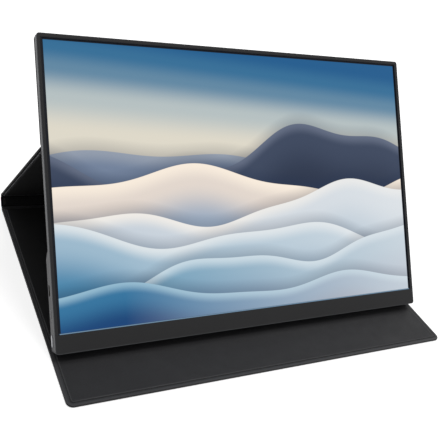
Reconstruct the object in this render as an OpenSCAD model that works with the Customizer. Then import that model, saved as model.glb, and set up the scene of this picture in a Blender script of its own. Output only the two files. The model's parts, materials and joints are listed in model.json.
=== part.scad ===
// Portable monitor standing in its folding leather cover.
// The cover's front panel lies on the desk, its spine and lower back panel fold up behind,
// and its upper panel holds the display by its back.
// X runs across the screen, Y away from the viewer and Z up.
// The origin is the middle of the front panel's underside. All sizes are in millimetres.

/* [Stance] */
// Tilt of the screen back from upright, in degrees
tilt = 38.5; // [30:0.1:46]
// Slope of the spine strip above the desk, in degrees
spine_lean = 51; // [35:1:65]
// Gap between the display's foot edge and the front panel
rest_gap = 0.25; // [0.1:0.05:0.5]

/* [Cover] */
// How far the cover stands out past each side of the display
side_overhang = 1.7; // [0.5:0.1:4]
// Length of the front panel beyond the display's height
front_overhang = 4; // [2:0.5:10]
// Width of the spine strip, between its two folds
spine_len = 12.3; // [10:0.1:14]
// Height of the middle fold above the display's bottom edge
fold_up = 154; // [130:0.5:170]
// Length of the lower back panel beyond the middle fold's height
lower_slack = 1.5; // [1:0.1:5]
// Thickness of every panel
cover_t = 2; // [1.8:0.1:3]
// Thickness of the leather on the outside
leather_t = 0.6; // [0.4:0.05:0.7]
// Thickness of the lining and of the turned hem
lining_t = 0.5; // [0.3:0.05:0.6]
// Width of the leather hem turned over the panel's edges
hem_w = 3.6; // [3:0.1:8]
// Leather left between a stiffening board and the panel's edge
board_margin = 1.4; // [1:0.1:3]
// Corner radius of the front panel's free corners
front_r = 5.5; // [3:0.5:15]
// Half thickness of the soft leather in a fold
fold_half_t = 0.6; // [0.4:0.05:0.8]
// Radius of the leather bead that a fold bends round
bead_r = 0.85; // [0.7:0.05:1]
// Gap between the bead and the panel that swings on it
fold_gap = 0.3; // [0.2:0.05:0.5]
// Length over which a panel thins towards a fold
fold_taper = 1.6; // [1:0.1:2.5]
// Drop of the upper panel's top edge below the display's top edge
upper_drop = 0.6; // [0.2:0.1:4]

/* [Cover magnets] */
// Number of magnets along the front panel's front edge
front_magnet_count = 6; // [2:1:10]
// Number of magnets across the upper panel, in each of its two rows
upper_magnet_count = 5; // [2:1:8]
// Length of a magnet
magnet_len = 20; // [10:1:30]
// Width of a magnet
magnet_w = 6; // [3:0.5:10]
// Distance from a panel's free edge to its magnets
magnet_inset = 12; // [9:1:30]
// Distance from the middle fold to the upper panel's lower row of magnets
upper_row_up = 18; // [10:1:30]

/* [Display casing] */
// Casing beside the picture, on each side
side_border = 4.4; // [3.8:0.1:8]
// Casing above the picture
top_border = 4.2; // [3.8:0.1:8]
// Casing below the picture
chin = 15.1; // [14:0.1:20]
// Thickness of the thin upper part
slab_t = 6.2; // [6:0.1:8]
// Thickness over the electronics housing at the bottom
housing_t = 12; // [11:0.1:14]
// Height of the electronics housing above the bottom edge
housing_up = 76; // [70:0.5:90]
// Height of the slope from the housing down to the thin part
housing_slope = 7; // [3:0.5:12]
// Radius of the housing's rounded foot edge
foot_r = 3; // [2:0.1:3.5]
// Corner radius of the display seen from the front
corner_r = 2.5; // [2:0.1:6]
// Wall thickness of the side frame
frame_wall = 1.5; // [1:0.1:2]
// Wall thickness of the rear cover
cover_wall = 1.3; // [1:0.1:1.6]
// Bevel along the rear cover's outer edges
rear_bevel = 1.2; // [0.6:0.1:1.8]

/* [Screen] */
// Width of the picture
picture_w = 345; // [300:1:380]
// Height of the picture
picture_h = 219.2; // [200:0.2:240]
// Glass outside the picture at its top and sides
glass_lap = 1.8; // [1.6:0.1:2.2]
// Glass below the picture, where the driver flexes are bonded
glass_foot = 4; // [3.6:0.1:5]
// Dark border of the glass that shows between the picture and the bezel
window_gap = 0.8; // [0.4:0.1:1.2]
// Thickness of the bezel in front of the glass
bezel_t = 0.9; // [0.6:0.05:1.2]
// Set-back of the bezel from the side frame's outer face
bezel_inset = 0.5; // [0.3:0.1:1]
// Thickness of the liquid crystal glass
glass_t = 1.1; // [0.7:0.05:1.3]
// Thickness of the diffuser films
films_t = 0.4; // [0.2:0.05:0.6]
// Thickness of the light guide
guide_t = 1.4; // [1:0.1:1.6]
// Thickness of the reflector sheet
reflector_t = 0.2; // [0.1:0.05:0.3]
// Thickness of the screen's steel tray
tray_t = 0.4; // [0.3:0.05:0.5]
// Height of the light bar below the light guide
led_h = 1; // [0.6:0.1:1.2]
// Number of lamps on the light bar
led_count = 24; // [8:1:40]
// Number of flexes between the glass and the driver board
flex_count = 8; // [4:1:12]
// Width of a driver flex
flex_w = 24; // [15:1:28]

/* [Sockets and controls] */
// Height of the power button's centre above the bottom edge
power_up = 9.5; // [8:0.5:12]
// Height of the lower charging socket's centre
lower_usb_up = 28; // [25:0.5:32]
// Height of the upper charging socket's centre
upper_usb_up = 47; // [42:0.5:54]
// Width of a charging socket's opening
usb_w = 8.34; // [8:0.02:9]
// Height of a charging socket's opening
usb_h = 2.56; // [2.4:0.02:2.8]
// Length of a charging socket's shell
usb_len = 7.4; // [6:0.1:9]
// Distance from the side board's top edge down to the video socket's centre
hdmi_drop = 11; // [8:0.5:14]
// Width of the video socket's opening
hdmi_w = 10.5; // [10:0.1:11.5]
// Height of the video socket's opening
hdmi_h = 2.5; // [2.2:0.1:2.9]
// Length of the video socket's shell
hdmi_len = 7.6; // [6:0.1:9]
// Height of the headphone socket's centre
jack_up = 38; // [33:0.5:42]
// Bore radius of the headphone socket
jack_r = 1.8; // [1.76:0.01:1.9]
// Depth of the headphone socket's bore
jack_depth = 12; // [10:0.5:14]
// Height of the menu rocker's centre
rocker_up = 18; // [15:0.5:22]
// Length of the menu rocker
rocker_len = 14; // [10:0.5:18]
// Length of the power button
power_len = 9; // [7:0.5:10]
// Width of the power button and the menu rocker
key_w = 2.6; // [2:0.1:3]
// How far a key stands out of the casing
key_proud = 0.5; // [0.3:0.05:0.8]
// Travel of the power button
key_travel = 0.35; // [0.2:0.05:0.5]
// Clearance round a key in its slot
key_gap = 0.2; // [0.15:0.05:0.3]
// Wall of a socket's metal shell
shell_t = 0.3; // [0.2:0.05:0.4]
// Clearance between a socket's shell and the rear cover's cut-out
socket_gap = 0.1; // [0.05:0.05:0.2]

/* [Electronics] */
// Width of the main board
board_w = 118; // [90:1:140]
// Height of the main board
board_h = 60; // [52:1:62]
// Thickness of the circuit boards
board_t = 1; // [0.8:0.1:1.2]
// Width of the side board, behind the headphone socket and the rocker
side_board_w = 24; // [20:1:30]
// Length of a speaker
speaker_len = 46; // [30:1:60]
// Width of a speaker
speaker_w = 17; // [12:1:20]
// Distance from a speaker's end to the main board's corner boss
speaker_gap = 5; // [1:0.5:12]
// Number of sound slots in front of each speaker
slot_count = 7; // [3:1:9]
// Width of a sound slot
slot_w = 1.2; // [0.8:0.1:1.6]
// Distance between sound slots
slot_pitch = 4.4; // [3:0.1:6]
// Distance from a board's corner screws to its edges
screw_in = 5; // [4:0.5:7]
// Side of a square chip
chip_size = 8; // [5:0.5:10]
// Thickness of a chip
chip_t = 1.1; // [0.6:0.1:1.6]
// Distance between chips
chip_pitch = 13; // [11:0.5:16]
// Side of a square choke
choke_size = 6.5; // [5:0.5:8]
// Height of a choke
choke_t = 2.6; // [1.5:0.1:3]
// Width of the shield can
shield_w = 26; // [20:1:30]
// Height of the shield can
shield_h = 20; // [15:1:22]
// Thickness of the shield can
shield_t = 2; // [1.2:0.1:3]

/* [Hidden] */
$fn = 48;
// How far a cut runs past a face
cut = 1;
// Colours
leather_c = "#35353a";
lining_c = "#232326";
card_c = "#8d7d66";
magnet_c = "#b9bcc0";
casing_c = "#55565a";
bezel_c = "#35363a";
glass_c = "#2f6c9c";
board_c = "#1f5c3a";
metal_c = "#c9cbce";
flex_c = "#c98a2c";

// Overall sizes that follow from the picture and its borders
display_w = picture_w + 2 * side_border;
display_h = chin + picture_h + top_border;
cover_w = display_w + 2 * side_overhang;
front_len = display_h + front_overhang;
lower_len = fold_up + lower_slack;

// Folds of the cover, as [y, z]: the spine fold, the rear fold and the middle fold
half_t = cover_t / 2;
spine_fold = [front_len / 2, half_t];
rear_fold = spine_fold + spine_len * [cos(spine_lean), sin(spine_lean)];
// The foot edge's centre in the display's own depth and height, and its height above the desk
foot_in_display = [housing_t - foot_r, foot_r];
foot_z = cover_t + rest_gap + foot_r;
// The middle fold seen from the foot edge's centre, in the display's depth and height
fold_from_foot = [slab_t + half_t, fold_up] - foot_in_display;
fold_z = foot_z - fold_from_foot[0] * sin(tilt) + fold_from_foot[1] * cos(tilt);
fold_rise = fold_z - rear_fold[1];
middle_fold = [rear_fold[0] - sqrt(lower_len * lower_len - fold_rise * fold_rise), fold_z];
lower_slope = asin(fold_rise / lower_len);
foot_y = middle_fold[0] - fold_from_foot[0] * cos(tilt) - fold_from_foot[1] * sin(tilt);
// The display's front bottom edge
edge_y = foot_y - foot_in_display[0] * cos(tilt) - foot_in_display[1] * sin(tilt);
edge_z = foot_z + foot_in_display[0] * sin(tilt) - foot_in_display[1] * cos(tilt);

// Panels of the cover
swing_start = bead_r + fold_gap;
full_start = swing_start + fold_taper;
upper_len = display_h - fold_up - upper_drop;
board_low = leather_t - half_t;
board_high = half_t - lining_t;

// Layers of the display, from the front
frame_d = slab_t - cover_wall;
glass_y = bezel_t;
films_y = glass_y + glass_t;
guide_y = films_y + films_t;
reflector_y = guide_y + guide_t;
tray_y = reflector_y + reflector_t;
tray_back = tray_y + tray_t;
layer_lap = 0.6;
tray_gap = 0.1;
tray_lap = layer_lap + tray_gap + tray_t;
picture_top = chin + picture_h;
housing_in = housing_t - cover_wall;
half_w = display_w / 2;
wall_in_x = half_w - cover_wall;

// Boards stand on bosses behind the tray, and the sockets lie on their rear faces
screw_head_t = 0.4;
head_gap = 0.15;
board_y = tray_back + screw_head_t + head_gap;
mount_y = board_y + board_t;
board_edge_gap = 1.2;
board_z = 7;
board_x = -wall_in_x + board_edge_gap;
side_board_x = wall_in_x - board_edge_gap - side_board_w;
flex_t = 0.15;
boss_r = 2.2;
screw_r = 0.8;
screw_hole_gap = 0.15;
screw_head_r = 1.7;
screw_len = 3;
socket_zone = 9;
switch_zone = 8;
main_bosses = [
    [board_x + socket_zone + screw_in, board_z + switch_zone + screw_in],
    [board_x + socket_zone + screw_in, board_z + board_h - screw_in],
    [board_x + board_w - screw_in, board_z + screw_in],
    [board_x + board_w - screw_in, board_z + board_h - screw_in]
];
side_bosses = [
    [side_board_x + screw_in, board_z + screw_in],
    [side_board_x + screw_in, board_z + board_h - screw_in]
];
usb_y = mount_y + shell_t + usb_h / 2;
hdmi_up = board_z + board_h - hdmi_drop;
hdmi_y = mount_y + shell_t + hdmi_h / 2;
mouth_recess = 0.15;
jack_half = 2.2;
jack_y = mount_y + jack_half;
jack_nose_wall = 0.6;
jack_body_w = 6.4;
key_y = mount_y + key_w / 2 + key_gap;
key_flange = 0.7;
key_flange_t = 0.6;
press_gap = key_travel + 0.1;
rocker_swing = 0.55;
speaker_up = 2;
slot_margin = 3;
speaker_x = -main_bosses[2][0] + boss_r + speaker_gap + speaker_len / 2;
speaker_z = cover_wall + foot_r + speaker_up + speaker_w / 2;
slot_len = speaker_w - 2 * slot_margin;

// A profile of depth and height, drawn as x and y, swept across the display or cover
module across(width) {
    rotate([90, 0, 90])
        linear_extrude(width, center = true)
            children();
}

// A front outline of width and height, drawn as x and y, made deep from one depth to another
module deep(from, to) {
    translate([0, to, 0])
        rotate([90, 0, 0])
            linear_extrude(to - from)
                children();
}

// A rectangle with round corners, centred in x and standing on y = 0
module round_rect(w, h, r) {
    translate([-w / 2, r])
        square([w, h - 2 * r]);
    translate([r - w / 2, 0])
        square([w - 2 * r, h]);
    for (x = [r - w / 2, w / 2 - r], y = [r, h - r])
        translate([x, y])
            circle(r);
}

// A slot with round ends, centred, long in y
module slot_shape(long, wide) {
    translate([-wide / 2, (wide - long) / 2])
        square([wide, long - wide]);
    for (y = [-1, 1] * (long - wide) / 2)
        translate([0, y])
            circle(wide / 2);
}

// Places for the four panels: each runs along +Y from its fold, with its inner face up
module at_front() {
    translate([0, spine_fold[0], spine_fold[1]])
        rotate([0, 0, 180])
            children();
}
module at_spine() {
    translate([0, spine_fold[0], spine_fold[1]])
        rotate([spine_lean, 0, 0])
            children();
}
module at_lower() {
    translate([0, rear_fold[0], rear_fold[1]])
        rotate([180 - lower_slope, 0, 0])
            children();
}
module at_upper() {
    translate([0, middle_fold[0], middle_fold[1]])
        rotate([90 - tilt, 0, 0])
            children();
}
// The display's own frame: y is depth from its front face, z is height along the screen
module in_display() {
    translate([0, edge_y, edge_z])
        rotate([-tilt, 0, 0])
            children();
}

// Outline of a panel from y = from to y = to, drawn in by inset at its sides and its free end
module panel_plan(near_w, far_w, len, free_r, inset, from, to) {
    if (free_r > 0) {
        end_r = max(free_r - inset, 0.5);
        intersection() {
            translate([0, -4 * free_r])
                round_rect(near_w - 2 * inset, len - inset + 4 * free_r, end_r);
            translate([-near_w, from])
                square([2 * near_w, to - from]);
        }
    } else {
        slant = (far_w - near_w) / len;
        from_half = (near_w + slant * from) / 2 - inset;
        to_half = (near_w + slant * to) / 2 - inset;
        polygon([[-from_half, from], [from_half, from], [to_half, to], [-to_half, to]]);
    }
}

// Where a panel is full thick: from its near fold to its far fold or its free end
function full_end(len, far) = far == "free" ? len : len - full_start;

// Side profile of a panel; a "bead" end reaches its fold, a "swing" end stops short of it
module panel_profile(len, near, far) {
    near_y = near == "bead" ? 0 : swing_start;
    far_y = far == "free" ? len : far == "bead" ? len : len - swing_start;
    far_half = far == "free" ? half_t : fold_half_t;
    end = full_end(len, far);
    polygon([
        [near_y, -fold_half_t], [full_start, -half_t], [end, -half_t], [far_y, -far_half],
        [far_y, far_half], [end, half_t], [full_start, half_t], [near_y, fold_half_t]
    ]);
}

// The lining's recess, or the lining itself when nothing is added above it
module panel_lining(near_w, far_w, len, far, free_r, above = 0) {
    end = far == "free" ? len - hem_w : full_end(len, far);
    translate([0, 0, board_high])
        linear_extrude(lining_t + above)
            panel_plan(near_w, far_w, len, free_r, hem_w, full_start, end);
}

// The stiffening board between leather and lining
module panel_board(near_w, far_w, len, far, free_r) {
    end = far == "free" ? len - board_margin : full_end(len, far);
    translate([0, 0, board_low])
        linear_extrude(board_high - board_low)
            panel_plan(near_w, far_w, len, free_r, board_margin, full_start, end);
}

// Leather round the outside of a panel, with its hem turned over the edges
module panel_leather(near_w, far_w, len, near, far, free_r) {
    difference() {
        intersection() {
            across(max(near_w, far_w))
                panel_profile(len, near, far);
            translate([0, 0, -half_t])
                linear_extrude(cover_t)
                    panel_plan(near_w, far_w, len, free_r, 0, 0, len);
        }
        panel_lining(near_w, far_w, len, far, free_r, cut);
        panel_board(near_w, far_w, len, far, free_r);
    }
    if (near == "bead")
        fold_bead(near_w);
    if (far == "bead")
        translate([0, len, 0])
            fold_bead(far_w);
}
module fold_bead(width) {
    rotate([0, 90, 0])
        cylinder(h = width, r = bead_r, center = true);
}

// A row of magnets across a panel, as high as its board
module magnet_row(count, y, width) {
    span = width - 2 * (magnet_inset + magnet_len / 2);
    for (i = [0 : count - 1])
        translate([-span / 2 + span * i / (count - 1) - magnet_len / 2, y - magnet_w / 2, board_low])
            cube([magnet_len, magnet_w, board_high - board_low]);
}

// Front panel
module front_leather() {
    color(leather_c)
        at_front()
            panel_leather(cover_w, cover_w, front_len, "swing", "free", front_r);
}
module front_board() {
    color(card_c)
        at_front()
            difference() {
                panel_board(cover_w, cover_w, front_len, "free", front_r);
                front_magnet_row();
            }
}
module front_lining() {
    color(lining_c)
        at_front()
            panel_lining(cover_w, cover_w, front_len, "free", front_r);
}
module front_magnet_row() {
    magnet_row(front_magnet_count, front_len - magnet_inset, cover_w);
}
module front_magnets() {
    color(magnet_c)
        at_front()
            front_magnet_row();
}

// Spine strip, with the leather beads of both its folds
module spine_leather() {
    color(leather_c)
        at_spine()
            panel_leather(cover_w, cover_w, spine_len, "bead", "bead", 0);
}
module spine_board() {
    color(card_c)
        at_spine()
            panel_board(cover_w, cover_w, spine_len, "bead", 0);
}
module spine_lining() {
    color(lining_c)
        at_spine()
            panel_lining(cover_w, cover_w, spine_len, "bead", 0);
}

// Lower back panel, drawn in towards the display's width at the middle fold
module lower_leather() {
    color(leather_c)
        at_lower()
            panel_leather(cover_w, display_w, lower_len, "swing", "swing", 0);
}
module lower_board() {
    color(card_c)
        at_lower()
            panel_board(cover_w, display_w, lower_len, "swing", 0);
}
module lower_lining() {
    color(lining_c)
        at_lower()
            panel_lining(cover_w, display_w, lower_len, "swing", 0);
}

// Upper panel, flush with the display, which it holds by magnets
module upper_leather() {
    color(leather_c)
        at_upper()
            panel_leather(display_w, display_w, upper_len, "bead", "free", corner_r);
}
module upper_board() {
    color(card_c)
        at_upper()
            difference() {
                panel_board(display_w, display_w, upper_len, "free", corner_r);
                upper_magnet_rows();
            }
}
module upper_lining() {
    color(lining_c)
        at_upper()
            panel_lining(display_w, display_w, upper_len, "free", corner_r);
}
module upper_magnet_rows() {
    for (y = [upper_row_up, upper_len - magnet_inset])
        magnet_row(upper_magnet_count, y, display_w);
}
module upper_magnets() {
    color(magnet_c)
        at_upper()
            upper_magnet_rows();
}

// Outline of the display drawn in by inset on every side
module display_plan(inset) {
    translate([0, inset])
        round_rect(display_w - 2 * inset, display_h - 2 * inset, max(corner_r - inset, 0.6));
}

// Side frame: a ring with a rebate at the front for the bezel
module side_frame() {
    color(casing_c)
        in_display()
            difference() {
                deep(0, frame_d)
                    display_plan(0);
                deep(-cut, bezel_t)
                    display_plan(bezel_inset);
                deep(bezel_t - cut, frame_d + cut)
                    display_plan(frame_wall);
            }
}

// Bezel: narrow at the top and sides, deep at the chin
module front_bezel() {
    color(bezel_c)
        in_display()
            difference() {
                deep(0, bezel_t)
                    display_plan(bezel_inset);
                deep(-cut, bezel_t + cut)
                    translate([0, chin - window_gap])
                        round_rect(picture_w + 2 * window_gap, picture_h + 2 * window_gap, 1);
            }
}

// Housing's rear profile drawn in by wall, as points of depth and height
function slope_z(y, wall) =
    housing_up - housing_slope
    - (wall * norm([housing_slope, housing_t - slab_t]) + (y - housing_t) * housing_slope)
    / (housing_t - slab_t);
module housing_profile(front, wall) {
    back = housing_t - wall;
    r = max(foot_r - wall, 0.5);
    polygon([
        [front, wall], [back - r, wall], [back, wall + r],
        [back, slope_z(back, wall)], [front, slope_z(front, wall)]
    ]);
    translate([back - r, wall + r])
        circle(r);
}

// Bevelled cross-section of the casing's rear half, as width and depth
module bevel_section(back) {
    polygon([
        [-half_w, frame_d], [half_w, frame_d], [half_w, back - rear_bevel],
        [half_w - rear_bevel, back], [rear_bevel - half_w, back], [-half_w, back - rear_bevel]
    ]);
}

// Rear cover's outer form: the thin plate with the deeper housing below it
module rear_form() {
    intersection() {
        deep(frame_d, housing_t)
            display_plan(0);
        union() {
            linear_extrude(display_h)
                bevel_section(slab_t);
            intersection() {
                across(display_w)
                    housing_profile(frame_d, 0);
                linear_extrude(housing_up)
                    bevel_section(housing_t);
            }
        }
    }
}

// Sound slots in front of both speakers
module sound_slots() {
    for (side = [-1, 1], i = [0 : slot_count - 1])
        translate([side * speaker_x + (i - (slot_count - 1) / 2) * slot_pitch, 0, speaker_z])
            deep(housing_in - cut, housing_t + cut)
                slot_shape(slot_len, slot_w);
}

// A cut or body that runs through a side wall, drawn as depth and height at its own centre
module through_side(side, y, z, from, to) {
    translate([side > 0 ? from : -to, y, z])
        rotate([90, 0, 90])
            linear_extrude(to - from)
                children();
}
module video_shape(grow) {
    w = hdmi_w + 2 * grow;
    h = hdmi_h + 2 * grow;
    foot = 1.2;
    polygon([
        [-h / 2, -w / 2], [h / 2 - foot, -w / 2], [h / 2, foot - w / 2],
        [h / 2, w / 2 - foot], [h / 2 - foot, w / 2], [-h / 2, w / 2]
    ]);
}

module rear_cover() {
    outside = half_w + cut;
    color(casing_c)
        in_display()
            difference() {
                union() {
                    difference() {
                        rear_form();
                        intersection() {
                            across(2 * wall_in_x)
                                housing_profile(frame_d - cut, cover_wall);
                            deep(frame_d - cut, housing_t)
                                display_plan(cover_wall);
                        }
                    }
                    for (p = concat(main_bosses, side_bosses))
                        translate([p[0], housing_in + cover_wall / 2, p[1]])
                            rotate([90, 0, 0])
                                cylinder(h = housing_in + cover_wall / 2 - mount_y, r = boss_r);
                }
                for (p = concat(main_bosses, side_bosses))
                    translate([p[0], mount_y + screw_len, p[1]])
                        rotate([90, 0, 0])
                            cylinder(h = screw_len + cut, r = screw_r);
                sound_slots();
                for (z = [lower_usb_up, upper_usb_up])
                    through_side(-1, usb_y, z, wall_in_x - cut, outside)
                        slot_shape(usb_w + 2 * (shell_t + socket_gap), usb_h + 2 * (shell_t + socket_gap));
                through_side(-1, key_y, power_up, wall_in_x - cut, outside)
                    slot_shape(power_len + 2 * key_gap, key_w + 2 * key_gap);
                through_side(1, key_y, rocker_up, wall_in_x - cut, outside)
                    slot_shape(rocker_len + 2 * key_gap, key_w + 2 * key_gap);
                through_side(1, hdmi_y, hdmi_up, wall_in_x - cut, outside)
                    video_shape(shell_t + socket_gap);
                through_side(1, jack_y, jack_up, wall_in_x - cut, outside)
                    circle(jack_r + jack_nose_wall + socket_gap);
            }
}

// Layers behind the bezel
module layer(lap, foot, from, to) {
    in_display()
        deep(from, to)
            translate([-picture_w / 2 - lap, chin - foot])
                square([picture_w + 2 * lap, picture_h + lap + foot]);
}
module screen_glass() {
    color(glass_c)
        layer(glass_lap, glass_foot, glass_y, films_y);
}
module diffuser_films() {
    color("white")
        layer(layer_lap, layer_lap, films_y, guide_y);
}
module light_guide() {
    color("#e6eef2")
        layer(layer_lap, layer_lap, guide_y, reflector_y);
}
module reflector_sheet() {
    color("#f4f4f4")
        layer(layer_lap, layer_lap, reflector_y, tray_y);
}
// Light bar: a flex strip below the light guide with its lamps against the guide's edge
module led_bar() {
    bar_top = chin - layer_lap;
    lamp_w = 5;
    strip_h = led_h / 3;
    span = picture_w - 2 * lamp_w;
    color("#f2e27a")
        in_display() {
            translate([-picture_w / 2, guide_y, bar_top - led_h])
                cube([picture_w, guide_t, strip_h]);
            for (i = [0 : led_count - 1])
                translate([span * (i / (led_count - 1) - 0.5) - lamp_w / 2, guide_y, bar_top - led_h + strip_h])
                    cube([lamp_w, guide_t, led_h - strip_h]);
        }
}
// Steel tray: a back plate with low walls round the films, the guide and the light bar
module screen_tray() {
    color(metal_c)
        difference() {
            layer(tray_lap, tray_lap + led_h, films_y, tray_back);
            layer(tray_lap - tray_t, tray_lap - tray_t + led_h, films_y - cut, tray_y);
        }
}
// Foam tapes between the tray and the rear cover's plate
module tray_tapes() {
    tape_w = 8;
    tape_in = 14;
    tape_low = housing_up + tape_w;
    tape_high = picture_top - tape_w;
    count = 5;
    span = picture_w - 2 * tape_in - tape_w;
    color("#2b2b2b")
        in_display()
            for (i = [0 : count - 1])
                translate([span * (i / (count - 1) - 0.5) - tape_w / 2, tray_back, tape_low])
                    cube([tape_w, frame_d - tray_back, tape_high - tape_low]);
}

// Driver board in the chin, with its flexes bonded to the glass above it
driver_y = films_y + flex_t;
driver_z = frame_wall + 1;
driver_top = chin - glass_foot - 1;
driver_in = 15;
driver_len = picture_w - 2 * driver_in;
module driver_board() {
    color(board_c)
        in_display()
            translate([-driver_len / 2, driver_y, driver_z])
                cube([driver_len, board_t, driver_top - driver_z]);
}
module driver_flexes() {
    bond = glass_foot - tray_lap - led_h - 0.3;
    low = driver_top - 3;
    high = chin - glass_foot + bond;
    span = driver_len - flex_w;
    color(flex_c)
        in_display()
            for (i = [0 : flex_count - 1])
                translate([span * (i / (flex_count - 1) - 0.5) - flex_w / 2, films_y, low])
                    cube([flex_w, flex_t, high - low]);
}
// Flat cable from the driver board's rear face to the main board's front face
module display_cable() {
    cable_w = 22;
    x = board_x + board_w - 2 * cable_w;
    start_y = driver_y + board_t;
    end_y = board_y - flex_t;
    low = driver_z + 1.5;
    bend = board_z - 1.5;
    high = board_z + 8;
    color(flex_c)
        in_display()
            translate([x, 0, 0])
                across(cable_w)
                    polygon([
                        [start_y, low], [start_y + flex_t, low], [start_y + flex_t, bend - 1],
                        [board_y, bend + 1], [board_y, high], [end_y, high], [end_y, bend + 1],
                        [start_y, bend - 1]
                    ]);
}

// A circuit board with its screw holes
module circuit_board(x, w, bosses) {
    color(board_c)
        in_display()
            difference() {
                translate([x, board_y, board_z])
                    cube([w, board_t, board_h]);
                for (p = bosses)
                    translate([p[0], mount_y + cut, p[1]])
                        rotate([90, 0, 0])
                            cylinder(h = board_t + 2 * cut, r = screw_r + screw_hole_gap);
            }
}
module main_board() {
    circuit_board(board_x, board_w, main_bosses);
}
module side_board() {
    circuit_board(side_board_x, side_board_w, side_bosses);
}
// Countersunk flat screws, from the front into the rear cover's bosses
module board_screws() {
    color(metal_c)
        in_display()
            for (p = concat(main_bosses, side_bosses))
                translate([p[0], board_y, p[1]])
                    rotate([-90, 0, 0]) {
                        cylinder(h = board_t + screw_len - 0.2, r = screw_r);
                        translate([0, 0, -screw_head_t])
                            cylinder(h = screw_head_t, r = screw_head_r);
                    }
}
// Chips in two rows and a row of chokes on the main board's rear face
module board_chips() {
    rows = [board_z + board_h / 2 + chip_pitch / 2, board_z + board_h - screw_in - chip_size / 2];
    first_x = board_x + board_w - 2 * screw_in - 2.5 * chip_pitch;
    color("#1c1c1e")
        in_display() {
            for (i = [0 : 1], z = rows)
                translate([first_x + i * chip_pitch - chip_size / 2, mount_y, z - chip_size / 2])
                    cube([chip_size, chip_t, chip_size]);
            for (i = [0 : 2])
                translate([first_x + (i - 1.5) * chip_pitch, mount_y, board_z + board_h / 2 - choke_size - boss_r])
                    cube([choke_size, choke_t, choke_size]);
        }
}
// Pressed shield over the display controller
module shield_can() {
    wall = 0.25;
    color(metal_c)
        in_display()
            translate([main_bosses[1][0] + boss_r + screw_in, mount_y, board_z + board_h / 2])
                difference() {
                    cube([shield_w, shield_t, shield_h]);
                    translate([wall, -cut, wall])
                        cube([shield_w - 2 * wall, shield_t - wall + cut, shield_h - 2 * wall]);
                }
}
// Flat cable that links the two boards along the housing's top
module link_cable() {
    cable_h = 6;
    from = board_x + board_w - 2 * screw_in;
    to = side_board_x + screw_in;
    color(flex_c)
        in_display()
            translate([from, mount_y, board_z + board_h / 2 - cable_h / 2])
                cube([to - from, flex_t, cable_h]);
}

// Charging sockets: a steel shell with a contact tongue on a rear block
module usb_shell(z) {
    color(metal_c)
        in_display()
            through_side(-1, usb_y, z, half_w - mouth_recess - usb_len, half_w - mouth_recess)
                difference() {
                    slot_shape(usb_w + 2 * shell_t, usb_h + 2 * shell_t);
                    slot_shape(usb_w, usb_h);
                }
}
module usb_tongue(z) {
    block = 1.5;
    tongue = [6.69, 0.7];
    tongue_len = 5;
    inner = half_w - mouth_recess - usb_len;
    color("#242426")
        in_display() {
            through_side(-1, usb_y, z, inner, inner + block)
                slot_shape(usb_w, usb_h);
            through_side(-1, usb_y, z, inner + block, inner + tongue_len)
                square([tongue[1], tongue[0]], center = true);
        }
}
module usb_shell_lower() {
    usb_shell(lower_usb_up);
}
module usb_shell_upper() {
    usb_shell(upper_usb_up);
}
module usb_tongue_lower() {
    usb_tongue(lower_usb_up);
}
module usb_tongue_upper() {
    usb_tongue(upper_usb_up);
}
// Video socket on the other side
module hdmi_shell() {
    color(metal_c)
        in_display()
            through_side(1, hdmi_y, hdmi_up, half_w - mouth_recess - hdmi_len, half_w - mouth_recess)
                difference() {
                    video_shape(shell_t);
                    video_shape(0);
                }
}
module hdmi_tongue() {
    block = 1.5;
    tongue = [8, 0.6];
    tongue_len = 5.5;
    inner = half_w - mouth_recess - hdmi_len;
    color("#242426")
        in_display() {
            through_side(1, hdmi_y, hdmi_up, inner, inner + block)
                video_shape(0);
            through_side(1, hdmi_y, hdmi_up, inner + block, inner + tongue_len)
                square([tongue[1], tongue[0]], center = true);
        }
}
// Headphone socket: a block with a round nose through the wall and a blind bore
module audio_jack() {
    nose_in = wall_in_x - board_edge_gap;
    mouth = half_w - mouth_recess;
    end_wall = 1;
    body_end = mouth - jack_depth - end_wall;
    color("#242426")
        in_display()
            difference() {
                union() {
                    translate([body_end, jack_y - jack_half, jack_up - jack_body_w / 2])
                        cube([nose_in - body_end, 2 * jack_half, jack_body_w]);
                    translate([nose_in, jack_y, jack_up])
                        rotate([0, 90, 0])
                            cylinder(h = mouth - nose_in, r = jack_r + jack_nose_wall - 0.2);
                }
                translate([mouth - jack_depth, jack_y, jack_up])
                    rotate([0, 90, 0])
                        cylinder(h = jack_depth + cut, r = jack_r);
            }
}

// Power button: a cap in the wall's slot, with a flange behind the wall
module power_button() {
    flange_out = wall_in_x - key_gap / 2;
    color(metal_c)
        in_display() {
            through_side(-1, key_y, power_up, flange_out, half_w + key_proud)
                slot_shape(power_len, key_w);
            through_side(-1, key_y, power_up, flange_out - key_flange_t, flange_out)
                slot_shape(power_len + 2 * key_flange, key_w);
        }
}
module push_switch(side, z, out) {
    body = 3;
    stem = 0.6;
    stem_w = 1.4;
    through_side(side, key_y, z, out - stem - body, out - stem)
        square([2 * (key_y - mount_y), 3.4], center = true);
    through_side(side, key_y, z, out - stem, out)
        square([stem_w, stem_w], center = true);
}
module power_switch() {
    out = wall_in_x - key_gap / 2 - key_flange_t - press_gap;
    color("#9a9ca0")
        in_display()
            push_switch(-1, power_up, out);
}
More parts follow.
